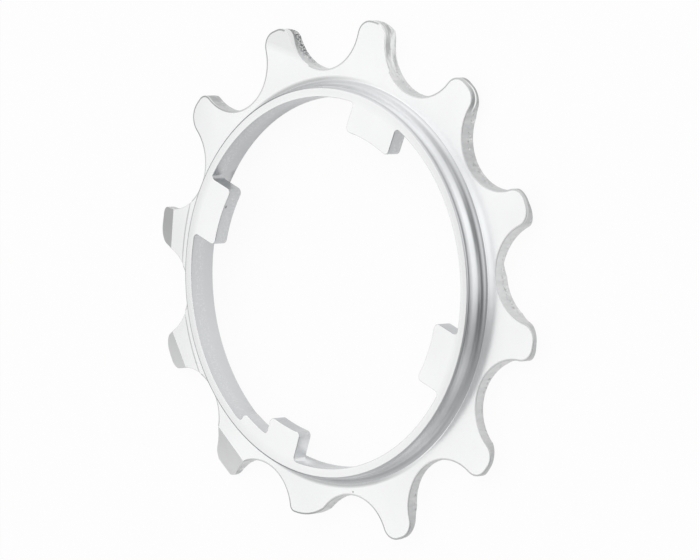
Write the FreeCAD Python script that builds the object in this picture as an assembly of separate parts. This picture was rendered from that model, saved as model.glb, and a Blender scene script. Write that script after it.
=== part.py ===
"""Cassette cog: a toothed plate, a raised spacer ring and a keyed, splined bore, all in one piece.

Millimetres and degrees. The cog lies on its back face: z = 0 is that face, and +Z is the bore's axis,
pointing to the side with the ring. +X passes through the middle of a tooth gap. Teeth are numbered
counter-clockwise, tooth 0 being the first after +X.
"""
import FreeCAD, Part
import math
import os

# Tooth row
TEETH = 12
CHAIN_PITCH = 12.7
SEAT_RADIUS = 4.6
TIP_RISE = 0.27
TIP_ROUND = 1.5
TIP_BACK_RUN = 0.6
TIP_BACK_RISE = 0.5
PLATE_THICKNESS = 1.55

# Two teeth lean to one side: tooth number, corner radius on the first side, corner radius on the second
LEANING_TIPS = (
    (1, 0.95, 2.0),
    (2, 0.8, 1.6),
)

# One tooth is cut short: its rounded top has its centre to one side, and just bites into the far seat
SHORT_TOOTH = 5
SHORT_CENTRE_DROP = 7.6
SHORT_CENTRE_SHIFT = -1.2
SHORT_BITE = 0.14
SHORT_CORNER = 0.7

# Bore, with the spacer ring round it
BORE_DIAMETER = 34.7
BORE_BACK_CHAMFER = 0.7
RING_WALL = 1.0
RING_HEIGHT = 2.0
RING_EDGE_ROUND = 0.3
RING_FOOT_RISE = 0.9

# The ring's foot sweeps out over this share of the flat between the ring and the roller seats
RING_FOOT_SHARE = 0.42

# Spline tabs in the front of the bore, one of them a narrow key with a low land beside it
TAB_THICKNESS = 1.55
TAB_HEIGHT = 2.85
TAB_WIDTH = 5.8
TAB_ANGLES = (-117.2, -27.2, 62.8)
TAB_CORNER = 0.5
TAB_ROOT = 0.35
KEY_TAB_WIDTH = 4.1
KEY_TAB_ANGLE = 156.5
LAND_HEIGHT = 1.0
LAND_START_ANGLE = 137.4

# Shift facets: tooth number, reach in from the tip, lean of the inner edge, thickness left at the tip
FRONT_FACETS = (
    (2, 2.55, 5.5, 0.5),
    (3, 2.55, 9.0, 0.45),
    (4, 3.4, -2.0, 0.25),
)
BACK_FACETS = (
    (5, 4.8, 14.0, 0.42),
    (6, 3.4, 10.0, 0.42),
    (7, 2.6, 14.0, 0.42),
    (8, 2.6, 14.0, 0.42),
    (9, 2.3, 22.0, 0.42),
    (10, 2.6, 0.0, 0.75),
)
FACET_SPAN = 0.6

# Shallow sloping step across the roots of the first two faceted teeth
STEP_TEETH = (2, 3)
STEP_RISE = 0.62
STEP_RUN = 0.25
STEP_DEPTH = 0.1

# Scallop milled across the back, and a ramped notch ahead of it
SCALLOP_ANGLE = -141.0
SCALLOP_WIDTH = 20.6
SCALLOP_DEPTH = 0.78
SCALLOP_WALL = 0.25
NOTCH_ANGLE = -86.9
NOTCH_RAMP = 3.3
NOTCH_RUNOUT = 1.3
NOTCH_DEPTH = 0.52

# A round or chamfer takes at most this share of its room; a turned round is this many straight runs
ROUND_SHARE = 0.9
ROUND_RUNS = 5
CUT_CLEAR = 0.5

tooth_step = 360.0 / TEETH
pitch_radius = CHAIN_PITCH / 2.0 / math.sin(math.pi / TEETH)
tip_radius = pitch_radius + TIP_RISE
root_radius = pitch_radius - SEAT_RADIUS
blank_radius = tip_radius + CUT_CLEAR
bore_radius = min(BORE_DIAMETER / 2.0, root_radius - RING_WALL)
ring_radius = bore_radius + RING_WALL
tab_tip_radius = bore_radius - TAB_HEIGHT
land_radius = bore_radius - min(LAND_HEIGHT, TAB_HEIGHT / 2.0)
top = PLATE_THICKNESS + RING_HEIGHT


def at(x, y, z=0.0):
    return FreeCAD.Vector(x, y, z)


def polar(radius, degrees):
    a = math.radians(degrees)
    return at(radius * math.cos(a), radius * math.sin(a))


def turned(point, degrees):
    """The point turned about the bore's axis."""
    a = math.radians(degrees)
    c, s = math.cos(a), math.sin(a)
    return at(point.x * c - point.y * s, point.x * s + point.y * c, point.z)


def toward(start, end, length):
    """The point that lies the given length from start, on the way to end."""
    way = end - start
    return start + way * (length / way.Length)


def line(start, end):
    return Part.LineSegment(start, end).toShape()


def arc(centre, start, end):
    """The short arc about centre from start to end."""
    middle = toward(centre, (start + end) * 0.5, (start - centre).Length)
    return Part.Arc(start, middle, end).toShape()


def quarter_runs(centre, start, end):
    """A quarter round or oval about centre, as straight runs that turn into plain cones."""
    marks = []
    for run in range(ROUND_RUNS + 1):
        a = math.radians(90.0 * run / ROUND_RUNS)
        marks.append(centre + (start - centre) * math.cos(a) + (end - centre) * math.sin(a))
    return [line(a, b) for a, b in zip(marks, marks[1:])]


def meet(centre_a, radius_a, centre_b, radius_b, near):
    """The crossing of two circles that lies nearer to a point."""
    way = centre_b - centre_a
    gap = way.Length
    along = (gap * gap + radius_a * radius_a - radius_b * radius_b) / (2.0 * gap)
    off = math.sqrt(max(radius_a * radius_a - along * along, 0.0))
    across = at(-way.y, way.x) * (off / gap)
    foot = centre_a + way * (along / gap)
    return min((foot + across, foot - across), key=lambda p: (p - near).Length)


def tooth_angle(number):
    return tooth_step * (number + 0.5)


def gap_centre(number):
    """Centre of the roller seat that comes before a tooth."""
    return polar(pitch_radius, tooth_step * number)


def widest_tip_round():
    """The corner radius at which the two corners of a tooth tip would meet."""
    reach = pitch_radius * math.cos(math.radians(tooth_step / 2.0))
    above = tip_radius ** 2 + pitch_radius ** 2 - SEAT_RADIUS ** 2 - 2.0 * tip_radius * reach
    return above / (2.0 * (tip_radius + SEAT_RADIUS - reach))


def tooth_top(number):
    """Centre and radius of a tooth's top, and the radii of its two corners."""
    if number == SHORT_TOOTH:
        middle = turned(at(tip_radius - SHORT_CENTRE_DROP, SHORT_CENTRE_SHIFT), tooth_angle(number))
        far = max((gap_centre(number + side) - middle).Length for side in (0, 1))
        return middle, far - SEAT_RADIUS + SHORT_BITE, (SHORT_CORNER, SHORT_CORNER)
    rounds = (TIP_ROUND, TIP_ROUND)
    for leaning, first, second in LEANING_TIPS:
        if number == leaning:
            rounds = (first, second)
    room = min(1.0, 2.0 * ROUND_SHARE * widest_tip_round() / sum(rounds))
    return at(0.0, 0.0), tip_radius, (room * rounds[0], room * rounds[1])


def tooth_edges(number):
    """Where a tooth leaves its first seat and enters its second, and the edges between."""
    centre, radius, rounds = tooth_top(number)
    apex = polar(tip_radius, tooth_angle(number))
    seats = (gap_centre(number), gap_centre(number + 1))
    ends = []
    corners = []
    for seat, corner in zip(seats, rounds):
        inside = toward(apex, seat, corner)
        hub = meet(centre, radius - corner, seat, SEAT_RADIUS + corner, inside)
        ends.append(toward(seat, hub, SEAT_RADIUS))
        corners.append((hub, toward(centre, hub, radius)))
    (first, left), (second, right) = corners
    edges = [arc(first, ends[0], left), arc(centre, left, right), arc(second, right, ends[1])]
    return ends[0], ends[1], edges


def tooth_outline():
    """The closed outline of the tooth row: seats, flanks, corners and tips."""
    edges = []
    teeth = [tooth_edges(number) for number in range(TEETH)]
    for number, (start, end, tip) in enumerate(teeth):
        next_start = teeth[(number + 1) % TEETH][0]
        edges += tip
        edges.append(arc(gap_centre(number + 1), end, next_start))
    return Part.Wire(edges)


def turned_blank():
    """The plate with its ring and bore, as turned before the teeth are cut."""
    edge = min(RING_EDGE_ROUND, RING_HEIGHT / 2.0, ROUND_SHARE * RING_WALL)
    foot_rise = min(RING_FOOT_RISE, RING_HEIGHT - edge)
    foot_run = RING_FOOT_SHARE * (root_radius - ring_radius)
    chamfer = min(BORE_BACK_CHAMFER, ROUND_SHARE * PLATE_THICKNESS)
    tip_rise = min(TIP_BACK_RISE, PLATE_THICKNESS / 2.0)
    tip_slope = tip_rise / TIP_BACK_RUN
    bore_back = at(bore_radius, 0.0, chamfer)
    bore_front = at(bore_radius, 0.0, top)
    edge_in = at(ring_radius - edge, 0.0, top)
    edge_out = at(ring_radius, 0.0, top - edge)
    foot_up = at(ring_radius, 0.0, PLATE_THICKNESS + foot_rise)
    foot_out = at(ring_radius + foot_run, 0.0, PLATE_THICKNESS)
    rim_front = at(blank_radius, 0.0, PLATE_THICKNESS)
    rim_back = at(blank_radius, 0.0, tip_rise + tip_slope * CUT_CLEAR)
    tip_back = at(tip_radius - TIP_BACK_RUN, 0.0, 0.0)
    chamfer_out = at(bore_radius + chamfer, 0.0, 0.0)
    edges = [line(bore_back, bore_front), line(bore_front, edge_in)]
    edges += quarter_runs(at(edge_in.x, 0.0, edge_out.z), edge_in, edge_out)
    edges.append(line(edge_out, foot_up))
    edges += quarter_runs(at(foot_out.x, 0.0, foot_up.z), foot_up, foot_out)
    outside = [foot_out, rim_front, rim_back, tip_back, chamfer_out, bore_back]
    edges += [line(a, b) for a, b in zip(outside, outside[1:])]
    section = Part.Face(Part.Wire(edges))
    return section.revolve(at(0, 0, 0), at(0, 0, 1), 360)


def side_edges(angle, half_width, side, wall_radius, end_radius):
    """One side of a tab, met counter-clockwise: where it starts, where it ends, and its edges."""
    room = ROUND_SHARE * (wall_radius - end_radius) / 2.0
    root_round = min(TAB_ROOT, room)
    corner_round = min(TAB_CORNER, room)
    flank = side * half_width
    root_y = flank + side * root_round
    corner_y = flank - side * corner_round
    root = at(math.sqrt((wall_radius - root_round) ** 2 - root_y ** 2), root_y)
    corner = at(math.sqrt((end_radius + corner_round) ** 2 - corner_y ** 2), corner_y)
    origin = at(0.0, 0.0)
    marks = [toward(origin, root, wall_radius), at(root.x, flank), at(corner.x, flank)]
    marks.append(toward(origin, corner, end_radius))
    marks = [turned(mark, angle) for mark in marks]
    edges = [
        arc(turned(root, angle), marks[0], marks[1]),
        line(marks[1], marks[2]),
        arc(turned(corner, angle), marks[2], marks[3]),
    ]
    if side < 0:
        return marks[0], marks[3], edges
    return marks[3], marks[0], edges[::-1]


def bore_outline():
    """The splined opening: bore wall, tabs, and the key tab with its land."""
    sides = []
    for angle in TAB_ANGLES:
        for side in (-1, 1):
            sides.append(side_edges(angle, TAB_WIDTH / 2.0, side, bore_radius, tab_tip_radius))
    sides.append(side_edges(LAND_START_ANGLE, 0.0, -1, bore_radius, land_radius))
    sides.append(side_edges(KEY_TAB_ANGLE, KEY_TAB_WIDTH / 2.0, -1, land_radius, tab_tip_radius))
    sides.append(side_edges(KEY_TAB_ANGLE, KEY_TAB_WIDTH / 2.0, 1, bore_radius, tab_tip_radius))
    edges = []
    for number, (start, end, run) in enumerate(sides):
        next_start = sides[(number + 1) % len(sides)][0]
        edges += run
        edges.append(arc(at(0.0, 0.0), end, next_start))
    return Part.Wire(Part.sortEdges(edges)[0])


def splined_collar():
    """The tabs and the land, on a thin collar that sinks into the bore wall."""
    depth = min(TAB_THICKNESS, top)
    rim = Part.Wire(Part.makeCircle(bore_radius + RING_WALL / 2.0))
    disc = Part.Face(rim).extrude(at(0, 0, depth))
    opening = Part.Face(bore_outline()).extrude(at(0, 0, depth))
    collar = disc.cut(opening)
    collar.translate(at(0, 0, top - depth))
    return collar


def facet(number, reach, lean, land, up):
    """The wedge that a shift facet takes off a tooth: up is 1 on the front and -1 on the back."""
    slope = (PLATE_THICKNESS - min(land, PLATE_THICKNESS)) / reach
    length = reach + 2.0 * CUT_CLEAR
    width = FACET_SPAN * CHAIN_PITCH
    over = CUT_CLEAR * slope
    profile = [(-CUT_CLEAR, over), (length, -length * slope), (length, over)]
    points = [at(x, -width / 2.0, up * z) for x, z in profile]
    prism = Part.Face(Part.makePolygon(points + points[:1])).extrude(at(0, width, 0))
    prism.rotate(at(0, 0, 0), at(0, 0, 1), lean)
    prism.translate(at(tip_radius - reach, 0, PLATE_THICKNESS if up > 0 else 0.0))
    prism.rotate(at(0, 0, 0), at(0, 0, 1), tooth_angle(number))
    return prism


def root_step():
    """The thin sector that the step takes off the faces of its teeth."""
    first, last = min(STEP_TEETH), max(STEP_TEETH)
    start = tooth_step * first
    span = tooth_step * (last + 1 - first)
    depth = STEP_DEPTH + CUT_CLEAR
    foot = at(0, 0, PLATE_THICKNESS - STEP_DEPTH)
    sector = Part.makeCylinder(blank_radius, depth, foot, at(0, 0, 1), span)
    sector.rotate(at(0, 0, 0), at(0, 0, 1), start)
    edge_radius = root_radius + STEP_RISE
    slope = STEP_RUN / STEP_DEPTH
    return sector.cut(Part.makeCone(edge_radius + STEP_RUN, edge_radius - slope * CUT_CLEAR, depth, foot))


def back_scallop():
    """A wide, shallow cylinder cut across the back, clear of the wall under the ring."""
    half = SCALLOP_WIDTH / 2.0
    radius = (half * half + SCALLOP_DEPTH ** 2) / (2.0 * SCALLOP_DEPTH)
    axis = at(0, 0, SCALLOP_DEPTH - radius)
    roller = Part.makeCylinder(radius, blank_radius, axis, at(1, 0, 0))
    roller.rotate(at(0, 0, 0), at(0, 0, 1), SCALLOP_ANGLE)
    wall = Part.makeCylinder(ring_radius + SCALLOP_WALL, 2.0 * PLATE_THICKNESS, at(0, 0, -PLATE_THICKNESS))
    return roller.cut(wall)


def back_notch():
    """A ramped notch across one tooth gap on the back: a long ramp, then a short run-out."""
    grow = 1.0 + CUT_CLEAR / NOTCH_DEPTH
    profile = [(0.0, NOTCH_DEPTH), (NOTCH_RAMP * grow, -CUT_CLEAR), (-NOTCH_RUNOUT * grow, -CUT_CLEAR)]
    start = ring_radius + SCALLOP_WALL
    points = [at(start, y, z) for y, z in profile]
    face = Part.Face(Part.makePolygon(points + points[:1]))
    prism = face.extrude(at(blank_radius - start, 0, 0))
    prism.rotate(at(0, 0, 0), at(0, 0, 1), NOTCH_ANGLE)
    return prism


def cog():
    row = Part.Face(tooth_outline()).extrude(at(0, 0, top))
    body = turned_blank().common(row)
    cuts = [facet(*sizes, 1) for sizes in FRONT_FACETS]
    cuts += [facet(*sizes, -1) for sizes in BACK_FACETS]
    cuts += [root_step(), back_scallop(), back_notch()]
    body = body.cut(cuts)
    return body.fuse(splined_collar()).removeSplitter()


os.makedirs("parts", exist_ok=True)
solid = cog()
if len(solid.Solids) == 1:
    solid = solid.Solids[0]
print("valid", solid.isValid(), "solids", len(solid.Solids), "volume", round(solid.Volume, 2))
solid.exportStep("parts/cassette_cog.step")
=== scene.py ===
"""Looks of the cassette cog: one piece of plated steel that lies on its back face on a pale floor.

Sizes are in millimetres, in the part's own frame, and MM turns them into the scene's metres. A turn is a
place round the cog from 0 to 1: it is 0.5 at +X and grows towards +Y, and one tooth takes up a twelfth.
"""
import math

import bmesh
import bpy
from mathutils import Matrix, Vector


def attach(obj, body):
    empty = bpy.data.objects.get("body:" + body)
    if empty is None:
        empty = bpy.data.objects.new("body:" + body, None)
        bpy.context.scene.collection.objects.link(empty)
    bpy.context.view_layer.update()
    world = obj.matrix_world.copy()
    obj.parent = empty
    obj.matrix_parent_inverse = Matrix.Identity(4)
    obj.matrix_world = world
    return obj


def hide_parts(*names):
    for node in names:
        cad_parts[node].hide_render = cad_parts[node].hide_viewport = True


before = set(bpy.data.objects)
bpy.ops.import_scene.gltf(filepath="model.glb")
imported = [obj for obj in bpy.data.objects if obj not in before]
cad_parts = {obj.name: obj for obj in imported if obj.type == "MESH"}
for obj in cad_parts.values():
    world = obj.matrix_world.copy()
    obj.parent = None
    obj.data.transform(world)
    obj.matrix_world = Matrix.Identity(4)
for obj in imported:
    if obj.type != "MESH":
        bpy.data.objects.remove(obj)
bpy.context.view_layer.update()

MM = 0.001

# Sizes of the part that the finishes follow
PLATE_FRONT = 1.55
RING_RADIUS = 18.35
RING_TOP = 3.55
RING_EDGE_ROUND = 0.3
RING_FOOT_RADIUS = 19.01
RING_FOOT_RISE = 0.9
BORE_RADIUS = 17.35
SEAT_BOTTOM_RADIUS = 19.9
TIP_RADIUS = 24.8

# How near counts as the same: from points that are merged to the widest margin round a size
SAME_POINT = 0.001
SAME_PLANE = 0.0005
TOUCH = 0.01
MARGIN = 0.1
WIDE_MARGIN = 0.2

# The upward part of a face's normal beyond which it is flat, in the front, shallow, or no longer steep
FLAT_FACE = 0.97
FRONT_FACE = 0.9
SHALLOW_FACE = 0.8
STEEP_FACE = 0.5

# Edges broken by the press and the barrel, and the height of a step that is too low to break
ROLLED_EDGE = 0.06
BROKEN_EDGE = 0.08
BACK_EDGE = 0.05
EDGE_SEGMENTS = 3
LOW_STEP = 0.3

# The angles in degrees that tell edges apart, and the upward part of an upright edge's way
BROKEN_ANGLE = 60.0
CREASE_ANGLE = 12.0
ROUND_ANGLE = 50.0
FLAT_ANGLE = 0.1
UPRIGHT_EDGE = 0.99

# The rolled strip's width, the X up to which it runs all round, and the least Y of a flank's normal past it
ROLL_WIDTH = 0.16
ROLL_ALL_ROUND = 19.0
ROLL_FACING = -0.5

# The ring's rounds: the cuts between two of their lines, and how far off the oval, as a share, a point may be
ROUND_CUTS = 3
ROUND_SLACK = 0.02

# How much bluer than red a grey is, each way from its middle
STEEL_COOL = 0.012
PLATE_COOL = 0.004

# Share of the metal's mirror in the pale plating
PLATING = 0.9

# How far out from the ring's wall the painted shade by its foot reaches, and how its sides lean off the X
# axis
FOOT_SHADE = 2.0
FOOT_LEAN = 0.12

# The way out to the end of one tooth that is darkened with painted shade
SHADED_TIP_WAY = (0.941, -0.337)

# Painted light and shade on the flanks round the cog: the turn and the level
FLANK_PAINTED_LEVELS = (
    (0.09, 0.22), (0.17, 0.42), (0.26, 0.53), (0.34, 0.12), (0.4, 0.28),
    (0.413, 0.3), (0.4245, 0.4), (0.434, 0.8), (0.44, 0.95), (0.48, 0.87),
    (0.5, 0.75), (0.515, 0.55), (0.54, 0.0), (0.58, 0.25))

# The painted highlight strip on the flanks: its full width, and the share of it round the cog as the turn and
# the share
STRIP_WIDTH = 1.2
STRIP_SHARES = (
    (0.25, 0.0), (0.29, 0.25), (0.33, 0.0), (0.34, 0.0), (0.375, 0.35),
    (0.41, 0.0), (0.42, 0.0), (0.43, 0.3), (0.5, 0.3), (0.512, 0.7),
    (0.54, 0.7), (0.57, 0.2), (0.64, 0.2), (0.67, 0.0))

# The turn where the painted glint line on one tip starts, and how steeply it climbs the flank
GLINT_TURN = 0.36
GLINT_CLIMB = 12.0

# Soft round patches of grey, each with its middle, reach and level: pits, and painted light and shade on tab
# sides
PIT_GREY = 0.2
PLATE_PIT = ((-19.65, -0.68, PLATE_FRONT), 0.12, PIT_GREY)
BORE_PIT_AND_PAINTED_LIGHT = (
    ((-16.0, 4.7, 2.7), 1.8, 0.93),
    ((-13.1, 6.1, 2.7), 2.4, 0.54),
    ((-4.7, -15.4, 3.1), 2.0, 0.54),
    ((7.58, 12.36, 3.31), 0.2, PIT_GREY))

# Camera, with the picture taken as 700 by 560
CAMERA_EYE = (5.955, -289.826, 304.204)
CAMERA_AIM = (0.151, -1.719, 1.55)
CAMERA_ROLL = 93.833
CAMERA_LENS = 230.6
CAMERA_NEAR = 10.0
SENSOR_WIDTH = 36.0

# Studio
WHITE = (1.0, 1.0, 1.0, 1.0)
FLOOR_SIZE = 4000.0
FLOOR_WHITE = 0.93
FLOOR_GLOW = 0.93
SOFTBOX_PLACE = (470.0, 60.0, 360.0)
SOFTBOX_SIZE = 300.0
SOFTBOX_POWER = 0.06
SKY_LEVEL = 0.58

# Soft panels of the sky: the way to each, the cosines where it begins and is full, and what it adds there
PANELS = (
    ((0.0, 0.7, 0.71), 0.86, 0.97, 0.45),
    ((0.68, 0.1, 0.73), 0.6, 0.95, 0.5),
    ((0.15, -0.66, 0.74), 0.86, 0.98, 0.78),
    ((-0.1, -0.99, 0.1), 0.65, 0.95, -0.32),
    ((-0.48, -0.71, 0.515), 0.85, 0.97, -0.14),
    ((-0.2, -0.05, 0.98), 0.9, 0.99, -0.2),
    ((-0.45, 0.54, 0.71), 0.9, 0.98, 0.2))


class Value:
    """A node's output. Arithmetic on it adds Math nodes to the same tree."""

    def __init__(self, finish, socket):
        self.finish = finish
        self.socket = socket

    def maths(self, operation, *terms):
        sockets = dict(enumerate(terms))
        return self.finish.add("ShaderNodeMath", {"operation": operation}, sockets)

    def __add__(self, other):
        return self.maths("ADD", self, other)

    def __radd__(self, other):
        return self.maths("ADD", other, self)

    def __sub__(self, other):
        return self.maths("SUBTRACT", self, other)

    def __rsub__(self, other):
        return self.maths("SUBTRACT", other, self)

    def __mul__(self, other):
        return self.maths("MULTIPLY", self, other)

    def __rmul__(self, other):
        return self.maths("MULTIPLY", other, self)

    def __truediv__(self, other):
        return self.maths("DIVIDE", self, other)

    def __rtruediv__(self, other):
        return self.maths("DIVIDE", other, self)

    def __abs__(self):
        return self.maths("ABSOLUTE", self)

    def at_least(self, other):
        return self.maths("MAXIMUM", self, other)


class Finish:
    """A node tree, and the one method that adds nodes to it."""

    def __init__(self, tree):
        self.tree = tree
        tree.nodes.clear()

    def add(self, kind, settings=None, sockets=None, output=0):
        """Adds a node, sets it up, fills or links its sockets, and gives the named output."""
        node = self.tree.nodes.new(kind)
        for name, setting in (settings or {}).items():
            if name == "stops":
                self.set_stops(node.color_ramp, setting)
            else:
                setattr(node, name, setting)
        for name, source in (sockets or {}).items():
            if isinstance(source, Value):
                self.tree.links.new(source.socket, node.inputs[name])
            else:
                node.inputs[name].default_value = source
        if not node.outputs:
            return None
        return Value(self, node.outputs[output])

    @staticmethod
    def set_stops(ramp, stops):
        while len(ramp.elements) < len(stops):
            ramp.elements.new(1.0)
        for element, (place, level) in zip(ramp.elements, stops):
            element.position = place
            element.color = (level, level, level, 1.0)

    def ramp(self, source, *stops):
        """A grey level that follows the source through the given stops."""
        return self.add("ShaderNodeValToRGB", {"stops": stops}, {"Fac": source})

    def blend(self, factor, low, high):
        """The colour low where the factor is 0, and high where it is 1."""
        sockets = {"Factor": factor, 6: low, 7: high}
        return self.add("ShaderNodeMix", {"data_type": "RGBA"}, sockets, 2)

    def noise(self, place, scale, detail=2.0, roughness=0.5):
        """A cloudy level from 0 to 1, with the scale in cycles per metre."""
        sockets = {"Vector": place, "Scale": scale, "Detail": detail, "Roughness": roughness}
        return self.add("ShaderNodeTexNoise", None, sockets)

    def vector(self, operation, first, second=None, output="Value"):
        """Vector maths on one or two vectors."""
        sockets = {0: first} if second is None else {0: first, 1: second}
        return self.add("ShaderNodeVectorMath", {"operation": operation}, sockets, output)


def steel(name):
    """A fresh material, with the place on the part in metres."""
    material = bpy.data.materials.new(name)
    material.use_nodes = True
    finish = Finish(material.node_tree)
    place = finish.add("ShaderNodeTexCoord", None, None, "Object")
    return material, finish, place


def close(finish, colour, roughness, bump_level, bump_depth, metallic=1.0):
    """The metal's shader on the material's output, with a fine bump of the given depth in millimetres."""
    bump_sockets = {"Height": bump_level, "Distance": bump_depth * MM, "Strength": 1.0}
    normal = finish.add("ShaderNodeBump", None, bump_sockets)
    sockets = {"Base Color": colour, "Roughness": roughness, "Metallic": metallic, "Normal": normal}
    shader = finish.add("ShaderNodeBsdfPrincipled", None, sockets)
    finish.add("ShaderNodeOutputMaterial", None, {"Surface": shader})


def grey(level, cool=STEEL_COOL):
    """A neutral metal colour, a little cool."""
    return (level - cool, level, level + cool, 1.0)


def pale(level):
    """A grey of the plate, less cool than the ring's and the bore's."""
    return grey(level, PLATE_COOL)


def along(finish, place, axis):
    """A place's distance along one axis, in millimetres."""
    return finish.add("ShaderNodeSeparateXYZ", None, {"Vector": place}, axis) / MM


def from_axis(finish, place):
    """A place's distance from the part's axis, in millimetres."""
    flat = finish.vector("MULTIPLY", place, (1.0, 1.0, 0.0), "Vector")
    return finish.vector("LENGTH", flat) / MM


def tooth_reach(finish, place):
    """How far out a place is on the teeth: 0 at the bottom of the seats and 1 at the tips."""
    return (from_axis(finish, place) - SEAT_BOTTOM_RADIUS) / (TIP_RADIUS - SEAT_BOTTOM_RADIUS)


def toned(finish, place, colour, spot, size, level):
    """The colour with one soft round patch of another grey in it."""
    away = finish.vector("DISTANCE", place, Vector(spot) * MM)
    return finish.blend(finish.ramp(away / (size * MM), (0.4, 0.8), (1.0, 0.0)), colour, grey(level))


def painted_tip_shade(finish, x, y):
    """Where painted shade darkens the end of one tooth, standing in for the shade of a faint facet there."""
    outward = SHADED_TIP_WAY[0] * x + SHADED_TIP_WAY[1] * y
    tip = finish.ramp(outward / TIP_RADIUS, (0.745, 0.0), (0.775, 1.0))
    return tip * finish.ramp(y / TIP_RADIUS, (0.04, 0.0), (0.1, 1.0))


def ring_top_painted_shade(finish, y, outward):
    """Painted shade on the ring's top by its rim, most on its two sides, for how the turned face reflects."""
    ring = finish.ramp(outward / RING_RADIUS, (0.93, 0.0), (0.97, 1.0), (0.999, 1.0), (1.0, 0.0))
    return ring * finish.ramp(abs(y) / RING_RADIUS, (0.5, 0.4), (0.95, 1.0))


def painted_side_shade(finish, x, y):
    """Painted shade on the plate at its +Y side, most where that is also far along +X."""
    lee = finish.ramp(y / TIP_RADIUS, (0.6, 0.0), (0.75, 0.4), (0.85, 1.0))
    return lee * finish.ramp(x / TIP_RADIUS, (0.3, 0.35), (0.6, 1.0))


def foot_shade(finish, x, y, outward):
    """Painted shade on the plate beside the ring's foot, at the two ends of the X axis, where the foot looks
    wider.
    """
    beyond = (outward - RING_RADIUS) / FOOT_SHADE
    shade = finish.ramp(beyond, (0.05, 0.0), (0.1, 1.0), (0.38, 0.85), (0.5, 0.0))
    shade = shade * finish.ramp(abs(x) / RING_RADIUS, (0.82, 0.0), (0.95, 1.0))
    across = (y - FOOT_LEAN * x) / (2.0 * RING_RADIUS) + 0.5
    return shade * finish.ramp(across, (0.26, 0.0), (0.46, 1.0))


def plated_face():
    """The bright satin faces: barrel-finished plating, cloudy, and with painted shade in some places of the
    front.
    """
    material, finish, place = steel("plated_face")
    clouds = finish.noise(place, 260.0, 3.0)
    grain = finish.noise(place, 5200.0, 2.0)
    patches = finish.ramp(finish.noise(place, 140.0, 3.0), (0.35, 0.0), (0.65, 1.0))
    x, y, z = (along(finish, place, axis) for axis in "XYZ")
    outward = from_axis(finish, place)
    front = finish.ramp(z / PLATE_FRONT, (0.5, 0.0), (0.9, 1.0))
    colour = finish.blend(patches * 0.6 + clouds * 0.4, pale(0.85), pale(0.91))
    # Painted shade on the end of one tooth
    colour = finish.blend(painted_tip_shade(finish, x, y) * front, colour, pale(0.78))
    # Painted shade on the ring's top, standing in for its reflection
    colour = finish.blend(ring_top_painted_shade(finish, y, outward) * front, colour, pale(0.78))
    # Painted shade at the +Y side of the plate
    colour = finish.blend(painted_side_shade(finish, x, y) * front, colour, pale(0.7))
    # Painted shade beside the ring's foot
    colour = finish.blend(foot_shade(finish, x, y, outward) * front, colour, pale(0.45))
    colour = toned(finish, place, colour, *PLATE_PIT)
    close(finish, colour, 0.2 + 0.06 * clouds, grain, bump_depth=0.00005, metallic=PLATING)
    return material


def flank_shade(finish, turn, reach, mottle):
    """A flank's painted light and shade: by its place round the cog, mottled, and darker towards the tips."""
    mottle = finish.ramp(mottle, (0.34, 0.0), (0.66, 1.0))
    shade = finish.ramp(turn, *FLANK_PAINTED_LEVELS) * 0.8 + mottle * 0.4
    return shade - 0.25 * finish.ramp(reach, (0.5, 0.0), (0.9, 1.0))


def torn_back(finish, place, colour, height):
    """The colour with the marks of tearing: bright specks towards the back, and dark ones over them."""
    specks = finish.ramp(finish.noise(place, 2600.0, 4.0, 0.7), (0.56, 0.0), (0.66, 1.0))
    specks = specks * finish.ramp(height, (0.35, 1.0), (0.65, 0.0))
    colour = finish.blend(specks * 0.7, colour, pale(0.92))
    tears = finish.ramp(finish.noise(place, 3600.0, 3.0, 0.7), (0.54, 0.0), (0.62, 1.0))
    tears = tears * finish.ramp(height, (0.2, 0.0), (0.32, 0.55), (0.48, 0.55), (0.6, 0.0))
    return finish.blend(tears, colour, pale(0.22))


def layered_side(finish, place, colour, turn, reach):
    """The colour with light and dark layers on one side of a tooth."""
    stretched = finish.add("ShaderNodeMapping", None, {"Vector": place, "Scale": (0.2, 0.2, 1.0)})
    layers = finish.ramp(finish.noise(stretched, 2400.0, 3.0, 0.6), (0.4, 0.0), (0.6, 1.0))
    side = finish.ramp(turn, (0.41, 0.0), (0.42, 1.0), (0.45, 1.0), (0.46, 0.0))
    side = side * finish.ramp(reach, (0.1, 0.0), (0.4, 0.6))
    return finish.blend(side, colour, finish.blend(layers, pale(0.3), pale(0.95)))


def harsh_side(finish, place, colour, turn, reach, height):
    """The colour with one side of a tooth dark towards its tip, and coarsely specked towards its back."""
    side = finish.ramp(turn, (0.505, 0.0), (0.515, 0.9), (0.535, 0.9), (0.545, 0.0))
    side = side * finish.ramp(reach, (0.1, 0.2), (0.4, 1.0))
    colour = finish.blend(side * finish.ramp(reach, (0.35, 0.0), (0.85, 0.85)), colour, pale(0.15))
    specks = finish.ramp(finish.noise(place, 6500.0, 3.0, 0.7), (0.44, 0.0), (0.58, 1.0))
    side = side * finish.ramp(height, (0.35, 1.0), (0.6, 0.2))
    return finish.blend(side, colour, finish.blend(specks, pale(0.1), pale(0.8)))


def painted_light_strip(finish, colour, turn, reach, height):
    """The colour with a painted highlight strip along the front edge that widens towards the tips."""
    width = STRIP_WIDTH / PLATE_FRONT * finish.ramp(turn, *STRIP_SHARES)
    width = width * finish.ramp(reach, (0.2, 0.0), (1.0, 1.0))
    strip = finish.ramp(height - (1.0 - width), (0.0, 0.0), (0.08, 1.0))
    strip = strip * finish.ramp(turn, (0.4, 0.5), (0.43, 1.0))
    return finish.blend(strip, colour, pale(0.82))


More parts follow.
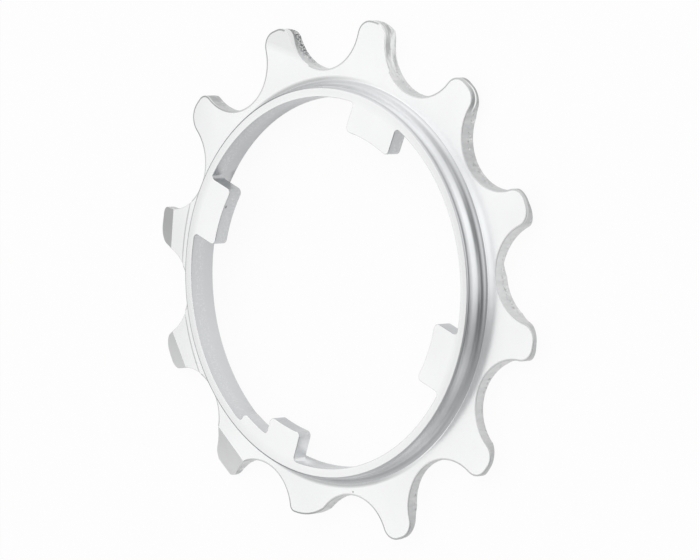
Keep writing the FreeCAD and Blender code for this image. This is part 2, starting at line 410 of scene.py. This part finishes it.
def painted_corner_glint(finish, colour, turn, reach, height):
    """The colour with a slanting painted glint at one tip's corner, and painted shade in a dark wedge before
    it.
    """
    corner = finish.ramp(turn, (0.35, 0.0), (0.36, 1.0), (0.372, 1.0), (0.382, 0.0))
    corner = corner * finish.ramp(reach, (0.6, 0.0), (0.8, 1.0))
    slant = height - GLINT_CLIMB * (turn - GLINT_TURN)
    wedge_shade = corner * finish.ramp(slant, (0.66, 0.0), (0.74, 0.7))
    wedge_shade = wedge_shade * finish.ramp(turn, (0.365, 1.0), (0.375, 0.0))
    colour = finish.blend(wedge_shade, colour, pale(0.22))
    glint_line = corner * finish.ramp(slant, (0.52, 0.0), (0.57, 1.0), (0.63, 1.0), (0.68, 0.0))
    return finish.blend(glint_line, colour, pale(0.98))


def sheared_flank():
    """The edges between the plate's faces: sheared, streaked through the thickness, with painted light and
    shade.
    """
    material, finish, place = steel("sheared_flank")
    stretched = finish.add("ShaderNodeMapping", None, {"Vector": place, "Scale": (1.0, 1.0, 0.25)})
    streaks = finish.noise(stretched, 2600.0, 4.0, 0.6)
    clouds = finish.noise(place, 160.0, 4.0)
    x, y, z = (along(finish, place, axis) for axis in "XYZ")
    turn = y.maths("ARCTAN2", y, x) / (2.0 * math.pi) + 0.5
    reach = tooth_reach(finish, place)
    height = z / PLATE_FRONT
    # Painted light and shade by place round the cog and towards the tips
    shade = flank_shade(finish, turn, reach, streaks * 0.5 + clouds * 0.5)
    colour = finish.blend(shade, pale(0.4), pale(0.85))
    colour = torn_back(finish, place, colour, height)
    colour = layered_side(finish, place, colour, turn, reach)
    colour = harsh_side(finish, place, colour, turn, reach, height)
    # Painted highlight along the front edge
    colour = painted_light_strip(finish, colour, turn, reach, height)
    # Painted glint and painted shade at one tip's corner
    colour = painted_corner_glint(finish, colour, turn, reach, height)
    close(finish, colour, 0.3 + 0.15 * clouds, streaks, bump_depth=0.008)
    return material


def ring_wall_painted_shade(finish, x, y, rise):
    """Painted shade on the ring's outside: in bands towards -Y, at its bottom all round, and in its foot at
    -X.
    """
    bands = finish.ramp(rise, (0.29, 1.0), (0.4, 0.0), (0.66, 0.0), (0.84, 0.75), (0.94, 0.8), (1.0, 0.5))
    bands = bands * finish.ramp(y / -RING_RADIUS, (0.45, 0.1), (0.77, 0.55), (0.95, 1.0))
    bottom = finish.ramp(rise, (0.03, 0.6), (0.14, 0.0))
    foot = finish.ramp(rise, (0.02, 0.0), (0.07, 0.65), (0.15, 0.65), (0.25, 0.0))
    foot = foot * finish.ramp(x / -RING_RADIUS, (0.45, 0.0), (0.65, 1.0))
    return bands.at_least(bottom).at_least(foot)


def turned_ring():
    """The ring's outside: turned, with fine lines round it, and painted shade in bands, in its foot and at
    its front edge.
    """
    material, finish, place = steel("turned_ring")
    x, y, z = (along(finish, place, axis) for axis in "XYZ")
    lines = finish.add("ShaderNodeTexNoise", {"noise_dimensions": "1D"}, {"W": z, "Scale": 9.0})
    clouds = finish.noise(place, 300.0, 2.0)
    rise = (z - PLATE_FRONT) / (RING_TOP - PLATE_FRONT)
    # Painted shade on the ring's outside, standing in for dark reflections and shade in its corner
    painted_wall_shade = ring_wall_painted_shade(finish, x, y, rise)
    colour = finish.blend(painted_wall_shade * 0.9 + clouds * 0.1, grey(0.97), grey(0.48))
    # Painted shade on the round of the ring's front edge, most towards +Y
    edge = finish.ramp(rise, (0.85, 0.0), (0.9, 1.0))
    edge = edge * finish.ramp(y / RING_RADIUS, (0.0, 0.4), (0.4, 1.0))
    colour = finish.blend(edge, colour, grey(0.34))
    satin = finish.ramp(x / -RING_RADIUS, (0.15, 0.0), (0.5, 1.0))
    close(finish, colour, 0.26 + 0.06 * clouds + 0.2 * satin, lines, bump_depth=0.0002)
    return material


def bore_wall():
    """The inside of the bore and the sides of the tabs: broached, a duller grey with fine specks, with
    painted light and shade.
    """
    material, finish, place = steel("bore_wall")
    specks = finish.noise(place, 3400.0, 3.0, 0.6)
    clouds = finish.noise(place, 350.0, 3.0)
    across = along(finish, place, "X") / (-2.0 * BORE_RADIUS) + 0.5
    # Painted light and shade across the bore along X
    shade = finish.ramp(across, (0.05, 0.05), (0.64, 1.0), (0.8, 0.95), (0.97, 0.5))
    colour = finish.blend(shade * 0.85 + clouds * 0.15, grey(0.49), grey(0.69))
    height = along(finish, place, "Z") / RING_TOP
    wear_and_painted_shade = finish.ramp(finish.noise(place, 5600.0, 4.0, 0.7), (0.5, 0.0), (0.66, 0.4))
    wear_and_painted_shade = wear_and_painted_shade * finish.ramp(height, (0.5, 0.0), (0.62, 1.0), (0.85, 1.0), (0.95, 0.0))
    colour = finish.blend(wear_and_painted_shade, colour, grey(0.92))
    # A pit, and painted light and shade in patches on the sides of some tabs
    for patch in BORE_PIT_AND_PAINTED_LIGHT:
        colour = toned(finish, place, colour, *patch)
    close(finish, colour, 0.3 + 0.12 * clouds, specks, bump_depth=0.004)
    return material


def coined_facet():
    """The shift facets: pressed flat, a mid grey with painted light that makes it paler towards -X."""
    material, finish, place = steel("coined_facet")
    clouds = finish.noise(place, 500.0, 3.0)
    grain = finish.noise(place, 4200.0, 2.0)
    across = along(finish, place, "X") / (-2.0 * TIP_RADIUS) + 0.5
    # Painted light, paler towards -X
    wear_and_painted_shade = finish.ramp(across, (0.37, 0.0), (0.85, 1.0))
    colour = finish.blend(wear_and_painted_shade * 0.85 + clouds * 0.15, pale(0.46), pale(0.98))
    close(finish, colour, 0.26 + 0.08 * clouds, grain, bump_depth=0.001)
    return material


def rolled_edge():
    """The rolled edge of the plate's front, where the plating is thin and dulled, with painted shade darkest
    towards +Y.
    """
    material, finish, place = steel("rolled_edge")
    clouds = finish.noise(place, 900.0, 3.0)
    across = along(finish, place, "Y") / (2.0 * TIP_RADIUS) + 0.5
    # Painted shade over the dulled plating, darkest towards +Y and out on the teeth
    wear_and_painted_shade = finish.ramp(across, (0.05, 0.5), (0.6, 1.0))
    wear_and_painted_shade = wear_and_painted_shade * finish.ramp(tooth_reach(finish, place), (0.0, 0.4), (0.5, 1.0))
    colour = finish.blend(wear_and_painted_shade * 0.85 + clouds * 0.15, pale(0.88), pale(0.36))
    close(finish, colour, 0.3 + 0.1 * clouds, clouds, bump_depth=0.002)
    return material


FINISHES = (plated_face, sheared_flank, turned_ring, bore_wall, coined_facet, rolled_edge)


def finish_of(face):
    """Which of the finishes a face of the part takes, from where it is and which way it looks."""
    centre = face.calc_center_median() / MM
    radius = math.hypot(centre.x, centre.y)
    outward = face.normal.x * centre.x + face.normal.y * centre.y
    on_teeth = radius > RING_FOOT_RADIUS and centre.z > PLATE_FRONT - MARGIN
    if abs(face.normal.z) > FLAT_FACE or on_teeth and face.normal.z > SHALLOW_FACE:
        return plated_face
    if radius < BORE_RADIUS + WIDE_MARGIN or outward < 0.0 and radius < RING_RADIUS:
        return bore_wall
    if radius < RING_FOOT_RADIUS + MARGIN and centre.z > PLATE_FRONT - WIDE_MARGIN:
        return turned_ring
    if abs(face.normal.z) > STEEP_FACE:
        return coined_facet
    return sheared_flank


def is_crease(edge):
    """Whether an edge stays sharp: not where it only divides a round."""
    bend = math.degrees(edge.calc_face_angle(0.0))
    a, b = (vert.co / MM for vert in edge.verts)
    upright = abs((b - a).normalized().z) > UPRIGHT_EDGE
    on_ring = max(math.hypot(a.x, a.y), math.hypot(b.x, b.y)) < RING_FOOT_RADIUS + MARGIN
    return bend > (ROUND_ANGLE if upright or on_ring else CREASE_ANGLE)


def is_low_step(face):
    """Whether a face is an upright step too low to round."""
    heights = [vert.co.z / MM for vert in face.verts]
    return abs(face.normal.z) < STEEP_FACE and max(heights) - min(heights) < LOW_STEP


def is_on_front(face):
    """Whether a face lies in the plate's front."""
    level = all(abs(vert.co.z / MM - PLATE_FRONT) < SAME_PLANE for vert in face.verts)
    return level and face.normal.z > FRONT_FACE


def edge_kind(edge):
    """How wide a sharp edge is broken on the plate's front, the ring's top or the back; None elsewhere."""
    if not edge.is_convex or not is_crease(edge) or math.degrees(edge.calc_face_angle()) < BROKEN_ANGLE:
        return None
    low, high = sorted(vert.co.z / MM for vert in edge.verts)
    if high < TOUCH:
        return BACK_EDGE
    if low < PLATE_FRONT - WIDE_MARGIN or any(is_low_step(face) for face in edge.link_faces):
        return None
    if high < PLATE_FRONT + TOUCH:
        return ROLLED_EDGE
    return BROKEN_EDGE if low > RING_TOP - TOUCH else None


def break_edges(bm, width):
    """Rounds every edge that is broken to this width."""
    edges = [edge for edge in bm.edges if edge_kind(edge) == width]
    bmesh.ops.bevel(
        bm, geom=edges, offset=width * MM, affect="EDGES", segments=EDGE_SEGMENTS, profile=0.5, material=-1,
        clamp_overlap=False)


def roll_front(bm):
    """Parts a narrow strip from the plate's front along its sheared edge, for the rolled edge's finish."""
    front = [face for face in bm.faces if is_on_front(face)]
    done = bmesh.ops.inset_region(bm, faces=front, thickness=ROLL_WIDTH * MM, use_even_offset=True)
    sheared = FINISHES.index(sheared_flank)
    for strip in done["faces"]:
        beside = [face for edge in strip.edges for face in edge.link_faces if face.material_index == sheared]
        all_round = strip.calc_center_median().x < ROLL_ALL_ROUND * MM
        if any((all_round or face.normal.y > ROLL_FACING) and not is_low_step(face) for face in beside):
            strip.material_index = FINISHES.index(rolled_edge)


def sweep_round(bm, middle, reach):
    """Divides one turned round of the ring more finely and puts its points on the true oval.

    The middle and the reach are each a radius and a height.
    """
    def way_from_middle(vert):
        spot = vert.co / MM
        return Vector(((math.hypot(spot.x, spot.y) - middle[0]) / reach[0], (spot.z - middle[1]) / reach[1]))

    def is_rung(edge):
        a, b = edge.verts
        level = abs(a.co.z - b.co.z) < SAME_POINT * MM
        return not level and all(abs(way_from_middle(vert).length - 1.0) < ROUND_SLACK for vert in edge.verts)

    rungs = [edge for edge in bm.edges if is_rung(edge)]
    done = bmesh.ops.subdivide_edges(bm, edges=rungs, cuts=ROUND_CUTS, use_grid_fill=True)
    for vert in done["geom_inner"]:
        if isinstance(vert, bmesh.types.BMVert):
            way = way_from_middle(vert).normalized()
            flat = Vector((vert.co.x, vert.co.y)).normalized() * (middle[0] + way.x * reach[0])
            vert.co = Vector((flat.x, flat.y, middle[1] + way.y * reach[1])) * MM


def cog_mesh():
    """The part's own solid with its rounds divided, its faces sorted by finish and its edges broken."""
    bm = bmesh.new()
    bm.from_mesh(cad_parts["cassette_cog"].data)
    bmesh.ops.remove_doubles(bm, verts=bm.verts, dist=SAME_POINT * MM)
    bmesh.ops.dissolve_limit(bm, angle_limit=math.radians(FLAT_ANGLE), verts=bm.verts, edges=bm.edges)
    foot_reach = (RING_FOOT_RADIUS - RING_RADIUS, RING_FOOT_RISE)
    sweep_round(bm, (RING_FOOT_RADIUS, PLATE_FRONT + RING_FOOT_RISE), foot_reach)
    edge_middle = (RING_RADIUS - RING_EDGE_ROUND, RING_TOP - RING_EDGE_ROUND)
    sweep_round(bm, edge_middle, (RING_EDGE_ROUND, RING_EDGE_ROUND))
    for face in bm.faces:
        face.material_index = FINISHES.index(finish_of(face))
    roll_front(bm)
    for width in (ROLLED_EDGE, BROKEN_EDGE, BACK_EDGE):
        break_edges(bm, width)
    # Rounding may not leave a point a hair below the floor
    for vert in bm.verts:
        vert.co.z = max(vert.co.z, 0.0)
    for face in bm.faces:
        face.smooth = True
    for edge in bm.edges:
        edge.smooth = not is_crease(edge) and len({is_on_front(face) for face in edge.link_faces}) == 1
    mesh = bpy.data.meshes.new("cog")
    bm.to_mesh(mesh)
    bm.free()
    return mesh


def cog_piece():
    """The cog with its finishes, in place of the part's one node."""
    mesh = cog_mesh()
    for make in FINISHES:
        mesh.materials.append(make())
    piece = bpy.data.objects.new("cog", mesh)
    bpy.context.scene.collection.objects.link(piece)
    level = piece.modifiers.new("even_faces", "WEIGHTED_NORMAL")
    level.keep_sharp = True
    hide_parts("cassette_cog")
    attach(piece, "root")


def floor_white():
    """The floor's matt white, which glows evenly to the camera and in mirrors."""
    material = bpy.data.materials.new("floor_white")
    material.use_nodes = True
    finish = Finish(material.node_tree)
    camera, mirror, through = (
        finish.add("ShaderNodeLightPath", None, None, ray)
        for ray in ("Is Camera Ray", "Is Glossy Ray", "Is Transmission Ray"))
    seen = camera.at_least(mirror).at_least(through)
    matt = finish.add("ShaderNodeBsdfDiffuse", None, {"Color": (FLOOR_WHITE, FLOOR_WHITE, FLOOR_WHITE, 1.0)})
    glow = finish.add("ShaderNodeEmission", None, {"Color": WHITE, "Strength": 1.0})
    mixed = finish.add("ShaderNodeMixShader", None, {0: seen * FLOOR_GLOW, 1: matt, 2: glow})
    finish.add("ShaderNodeOutputMaterial", None, {"Surface": mixed})
    return material


def pale_floor():
    """A plain white floor under the part, which keeps a soft shadow."""
    mesh = bpy.data.meshes.new("floor")
    bm = bmesh.new()
    bmesh.ops.create_grid(bm, x_segments=1, y_segments=1, size=FLOOR_SIZE / 2.0 * MM)
    bm.to_mesh(mesh)
    bm.free()
    mesh.materials.append(floor_white())
    floor = bpy.data.objects.new("floor", mesh)
    bpy.context.scene.collection.objects.link(floor)


def studio_sky():
    """A pale tent with soft panels, some brighter than the rest and some dimmer."""
    world = bpy.data.worlds.new("studio")
    world.use_nodes = True
    bpy.context.scene.world = world
    finish = Finish(world.node_tree)
    way = finish.add("ShaderNodeTexCoord", None, None, "Generated")
    level = SKY_LEVEL
    for middle, begins, full, strength in PANELS:
        nearness = finish.vector("DOT_PRODUCT", way, middle)
        level = level + strength * finish.ramp(nearness, (begins, 0.0), (full, 1.0))
    shade = finish.add("ShaderNodeBackground", None, {"Color": WHITE, "Strength": level})
    finish.add("ShaderNodeOutputWorld", None, {"Surface": shade})


def soft_lamp(name, place, size, power):
    """A square lamp that looks at the part."""
    light = bpy.data.lights.new(name, "AREA")
    light.size = size * MM
    light.energy = power
    lamp = bpy.data.objects.new(name, light)
    bpy.context.scene.collection.objects.link(lamp)
    spot = Vector(place) * MM
    lamp.matrix_world = Matrix.Translation(spot) @ (-spot).to_track_quat("-Z", "Y").to_matrix().to_4x4()


def photo_camera():
    """The camera, level first and then rolled on its side."""
    data = bpy.data.cameras.new("camera")
    data.lens = CAMERA_LENS
    data.sensor_width = SENSOR_WIDTH
    data.clip_start = CAMERA_NEAR * MM
    camera = bpy.data.objects.new("camera", data)
    bpy.context.scene.collection.objects.link(camera)
    eye = Vector(CAMERA_EYE) * MM
    look = Vector(CAMERA_AIM) * MM - eye
    turn = look.to_track_quat("-Z", "Y").to_matrix().to_4x4()
    roll = Matrix.Rotation(math.radians(-CAMERA_ROLL), 4, "Z")
    camera.matrix_world = Matrix.Translation(eye) @ turn @ roll
    bpy.context.scene.camera = camera


bpy.context.scene.view_settings.view_transform = "Standard"
cog_piece()
pale_floor()
studio_sky()
soft_lamp("softbox", SOFTBOX_PLACE, SOFTBOX_SIZE, SOFTBOX_POWER)
photo_camera()
